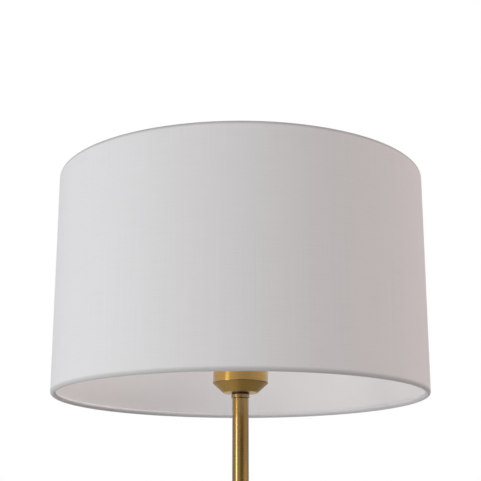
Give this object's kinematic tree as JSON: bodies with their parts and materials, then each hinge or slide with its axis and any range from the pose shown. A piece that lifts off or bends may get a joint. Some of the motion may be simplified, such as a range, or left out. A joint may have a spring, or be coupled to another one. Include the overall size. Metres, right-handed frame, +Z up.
{
  "type": "floor lamp",
  "caption": "Upright floor lamp: weighted round base, brass tube pole, stepped socket cup and a straight drum fabric shade held by a screw ring.",
  "frame": {"origin": "centre of the base on the floor, under the pole", "axes": "+Z up along the pole, -Y the front, +Y the side of the cord inlet"},
  "size_m": [0.4319, 0.432, 1.55],
  "materials": {
    "brass": "satin brushed, turned",
    "brass_inner": "plain turned",
    "zinc": "zinc plated",
    "iron": "raw, painted black",
    "pad": "matte foam rubber",
    "black_plastic": "fine matte",
    "holder_black": "moulded phenolic",
    "ceramic": "glazed white",
    "bronze": "sprung bronze",
    "flex_white": "matte sheath",
    "core_colour": "matte insulation",
    "cap_metal": "plain spun",
    "bulb_white": "smooth white",
    "bulb_opal": "opal",
    "bulb_black": "black vitrite",
    "board": "white masked board",
    "circuit": "circuit board",
    "shade_cloth": "fine plain weave linen cotton",
    "shade_lining": "stiff white film",
    "shade_wire": "white epoxy coat"
  },
  "bodies": {
    "stand": {"base_cover": "brass", "base_weight": "iron", "base_pad": "pad", "base_flange": "brass", "base_nipple": "brass_inner", "base_nut": "zinc", "base_washer": "zinc", "cord_grommet": "black_plastic", "pole_lower": "brass", "pole_middle": "brass", "pole_upper": "brass", "pole_inserts": "brass_inner", "joint_nipple_lower": "brass_inner", "joint_nipple_upper": "brass_inner", "pole_top_collar": "brass", "neck_washer": "black_plastic", "socket_cup": "brass", "cup_lock_washer": "zinc", "cup_nut": "zinc", "head_nipple": "brass_inner", "cup_cover_ring": "brass", "holder_base": "holder_black", "holder_grub_screw": "zinc", "holder_contact_block": "ceramic", "holder_screw_shell": "brass_inner", "holder_centre_contact": "bronze", "holder_terminals": "brass_inner", "holder_terminal_screws": "zinc", "holder_skirt": "holder_black", "inner_flex": "flex_white", "holder_wires": "core_colour"},
    "shade": {"shade_fabric": "shade_cloth", "shade_liner": "shade_lining", "shade_bottom_ring": "shade_wire", "shade_top_ring": "shade_wire", "spider_hub": "shade_wire", "spider_arms": "shade_wire"},
    "clamp_ring": {"shade_clamp_ring": "holder_black"},
    "bulb": {"bulb_contact": "cap_metal", "bulb_insulator": "bulb_black", "bulb_cap": "cap_metal", "bulb_housing": "bulb_white", "bulb_diffuser": "bulb_opal", "bulb_led_board": "board", "bulb_driver": "circuit"}
  },
  "joints": [
    {"name": "shade_turn", "type": "hinge", "parent": "stand", "child": "shade", "pos_m": [0, 0, 1.3515], "axis": [0, 0, 1], "continuous": true},
    {"name": "clamp_ring_turn", "type": "hinge", "parent": "stand", "child": "clamp_ring", "pos_m": [0, 0, 1.3562], "axis": [0, 0, 1], "range_deg": [0, 2100]},
    {"name": "bulb_lift", "type": "slide", "parent": "stand", "child": "bulb", "axis": [0, 0, 1], "range_m": [0, 0.25]}
  ]
}
